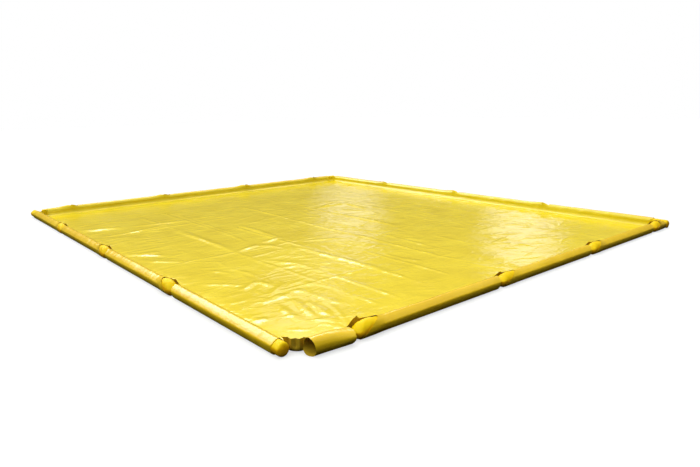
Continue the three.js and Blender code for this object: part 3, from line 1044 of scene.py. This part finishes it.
def build_stage():
    half = 40.0
    mesh = bpy.data.meshes.new("ground")
    corners = [(-half, -half, 0), (half, -half, 0), (half, half, 0), (-half, half, 0)]
    mesh.from_pydata(corners, [], [(0, 1, 2, 3)])
    ground = bpy.data.objects.new("ground", mesh)
    ground.location.z = -0.0006
    bpy.context.scene.collection.objects.link(ground)
    material = bpy.data.materials.new("ground")
    material.use_nodes = True
    nodes, links = material.node_tree.nodes, material.node_tree.links
    nodes.clear()
    shaders = []
    for tone in (GROUND_TONE, GROUND_SEEN_TONE):
        diffuse = nodes.new("ShaderNodeBsdfDiffuse")
        diffuse.inputs["Color"].default_value = (tone, tone, tone, 1)
        shaders.append(diffuse)
    glow = nodes.new("ShaderNodeEmission")
    glow.inputs["Strength"].default_value = GROUND_GLOW
    both = nodes.new("ShaderNodeAddShader")
    links.new(shaders[1].outputs[0], both.inputs[0])
    links.new(glow.outputs[0], both.inputs[1])
    mixed = nodes.new("ShaderNodeMixShader")
    links.new(seen_rays(nodes, links, gloss=False), mixed.inputs["Fac"])
    links.new(shaders[0].outputs[0], mixed.inputs[1])
    links.new(both.outputs[0], mixed.inputs[2])
    output = nodes.new("ShaderNodeOutputMaterial")
    links.new(mixed.outputs[0], output.inputs["Surface"])
    mesh.materials.append(material)
    ground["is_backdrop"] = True


def seen_rays(nodes, links, gloss=True):
    """1 for rays that show the background itself: from the camera, or by way of glass or gloss."""
    path = nodes.new("ShaderNodeLightPath")
    seen = path.outputs["Is Camera Ray"]
    for kind in ("Is Transmission Ray", "Is Glossy Ray")[: 2 if gloss else 1]:
        either = nodes.new("ShaderNodeMath")
        either.operation = "MAXIMUM"
        links.new(seen, either.inputs[0])
        links.new(path.outputs[kind], either.inputs[1])
        seen = either.outputs[0]
    return seen


GROUND_TONE, GROUND_SEEN_TONE, GROUND_GLOW = 0.02, 0.38, 0.62
# The sky's light at the horizon and overhead, and between which heights (as sines) it grows
SKY_LIGHT, SKY_RISE = (0.0, 0.9), (0.3, 0.95)
# Suns: name, strength, colour, spread in degrees, and where it comes from
SUNS = [
    ("key", 1.4, (1.0, 0.965, 0.93), 50, Vector((-0.05, 0.4, 1.3))),
    ("side", 1.0, (0.88, 1.0, 0.94), 40, Vector((-0.75, -0.2, 0.95))),
]
SCREEN_RADIUS, SCREEN_HEIGHT, SCREEN_TONES = 18.0, 12.0, (0.08, 0.36)
# Bright soft-edged cards, where the floor mirrors them to the camera: azimuths, elevations and tone
CARDS = [
    ("card_right", (27.0, 37.5), (7.5, 18.0), 1.15),
    ("card_back", (44.5, 54.5), (7.5, 15.0), 0.9),
    ("card_front", (48.0, 62.0), (17.0, 26.0), 1.1),
    ("card_high", (24.0, 80.0), (25.0, 50.0), 7.0),
    ("card_left", (52.0, 122.0), (19.0, 46.0), 8.0),
]
CARD_DISTANCE = 20.0


def build_light():
    world = bpy.data.worlds.new("studio")
    bpy.context.scene.world = world
    world.use_nodes = True
    nodes, links = world.node_tree.nodes, world.node_tree.links
    background = nodes["Background"]
    background.inputs["Color"].default_value = (1, 1, 1, 1)
    direction = nodes.new("ShaderNodeSeparateXYZ")
    links.new(nodes.new("ShaderNodeTexCoord").outputs["Generated"], direction.inputs["Vector"])
    sky = nodes.new("ShaderNodeMapRange")
    sky.interpolation_type = "SMOOTHSTEP"
    sky.inputs["From Min"].default_value, sky.inputs["From Max"].default_value = SKY_RISE
    sky.inputs["To Min"].default_value, sky.inputs["To Max"].default_value = SKY_LIGHT
    links.new(direction.outputs["Z"], sky.inputs["Value"])
    strength = nodes.new("ShaderNodeMapRange")
    strength.inputs["To Max"].default_value = 1.0
    links.new(sky.outputs["Result"], strength.inputs["To Min"])
    links.new(seen_rays(nodes, links), strength.inputs["Value"])
    links.new(strength.outputs["Result"], background.inputs["Strength"])
    for name, energy, colour, spread, source in SUNS:
        lamp = bpy.data.lights.new(name, "SUN")
        lamp.energy = energy
        lamp.color = colour
        lamp.angle = math.radians(spread)
        sun = bpy.data.objects.new(name, lamp)
        bpy.context.scene.collection.objects.link(sun)
        sun.rotation_mode = "QUATERNION"
        sun.rotation_quaternion = source.to_track_quat("Z", "Y")


def glow_material(name, strength, foot=None):
    """Light of its own. A card's fades towards its edges and adds to what is behind it, and a
    screen's fades from its top to its foot."""
    material = bpy.data.materials.new(name)
    material.use_nodes = True
    nodes, links = material.node_tree.nodes, material.node_tree.links
    nodes.clear()
    glow = nodes.new("ShaderNodeEmission")
    place = nodes.new("ShaderNodeTexCoord")
    level = nodes.new("ShaderNodeMapRange")
    level.inputs["To Max"].default_value = strength
    if foot is None:
        centred = nodes.new("ShaderNodeMapping")
        centred.inputs["Location"].default_value = (-1, -1, 0)
        centred.inputs["Scale"].default_value = (2, 2, 1)
        links.new(place.outputs["UV"], centred.inputs["Vector"])
        fade = nodes.new("ShaderNodeTexGradient")
        fade.gradient_type = "SPHERICAL"
        links.new(centred.outputs["Vector"], fade.inputs["Vector"])
        level.interpolation_type = "SMOOTHSTEP"
        level.inputs["From Max"].default_value = 0.7
        links.new(fade.outputs["Fac"], level.inputs["Value"])
    else:
        height = nodes.new("ShaderNodeSeparateXYZ")
        links.new(place.outputs["Generated"], height.inputs["Vector"])
        level.inputs["To Min"].default_value = foot
        links.new(height.outputs["Z"], level.inputs["Value"])
    links.new(level.outputs["Result"], glow.inputs["Strength"])
    surface = glow.outputs[0]
    if foot is None:
        added = nodes.new("ShaderNodeAddShader")
        links.new(glow.outputs[0], added.inputs[0])
        links.new(nodes.new("ShaderNodeBsdfTransparent").outputs[0], added.inputs[1])
        surface = added.outputs[0]
    output = nodes.new("ShaderNodeOutputMaterial")
    links.new(surface, output.inputs["Surface"])
    return material


def gloss_only(screen):
    """A card that shows in the gloss of the sheet and nowhere else."""
    bpy.context.scene.collection.objects.link(screen)
    screen.visible_camera = False
    screen.visible_diffuse = False
    screen.visible_shadow = False
    screen.visible_transmission = False
    screen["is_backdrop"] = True


def build_screen():
    """A low grey screen round the studio, which the gloss of the sheet mirrors at a flat angle."""
    sides = 48
    turn = np.arange(sides) / sides * 2 * math.pi
    ring = [(SCREEN_RADIUS * math.cos(t), SCREEN_RADIUS * math.sin(t)) for t in turn]
    points = [(x, y, z) for z in (0.0, SCREEN_HEIGHT) for x, y in ring]
    faces = [(i, (i + 1) % sides, (i + 1) % sides + sides, i + sides) for i in range(sides)]
    mesh = bpy.data.meshes.new("screen")
    mesh.from_pydata(points, [], faces)
    mesh.materials.append(glow_material("screen", SCREEN_TONES[1], SCREEN_TONES[0]))
    gloss_only(bpy.data.objects.new("screen", mesh))
    eye = Vector((cad_low.x, cad_low.y, 0)) + Vector(CAMERA_FROM_CORNER)
    eye.z = -eye.z
    columns = 9
    for name, azimuths, elevations, tone in CARDS:
        points, spots = [], []
        for v in (0, 1):
            for u in np.linspace(0, 1, columns):
                turn = math.radians(azimuths[0] + (azimuths[1] - azimuths[0]) * u)
                rise = math.tan(math.radians(elevations[v]))
                points.append(eye + Vector((math.cos(turn), math.sin(turn), rise)) * CARD_DISTANCE)
                spots.append((u, v))
        faces = [(i, i + 1, i + 1 + columns, i + columns) for i in range(columns - 1)]
        mesh = bpy.data.meshes.new(name)
        mesh.from_pydata(points, [], faces)
        layer = mesh.uv_layers.new(name="card")
        for loop in mesh.loops:
            layer.data[loop.index].uv = spots[loop.vertex_index]
        mesh.materials.append(glow_material(name, tone))
        gloss_only(bpy.data.objects.new(name, mesh))


def build_camera():
    axis_x, axis_y, forward = camera_axes()
    data = bpy.data.cameras.new("camera")
    data.lens = CAMERA_LENS
    data.sensor_width = SENSOR_WIDTH
    camera = bpy.data.objects.new("camera", data)
    bpy.context.scene.collection.objects.link(camera)
    turn = Matrix((axis_x, axis_y, -forward)).transposed()
    corner = Vector((cad_low.x, cad_low.y, 0))
    camera.matrix_world = Matrix.Translation(corner + Vector(CAMERA_FROM_CORNER)) @ turn.to_4x4()
    bpy.context.scene.camera = camera


build_stage()
build_screen()
build_light()
build_camera()
bpy.context.scene.view_settings.view_transform = "Standard"

low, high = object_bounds()
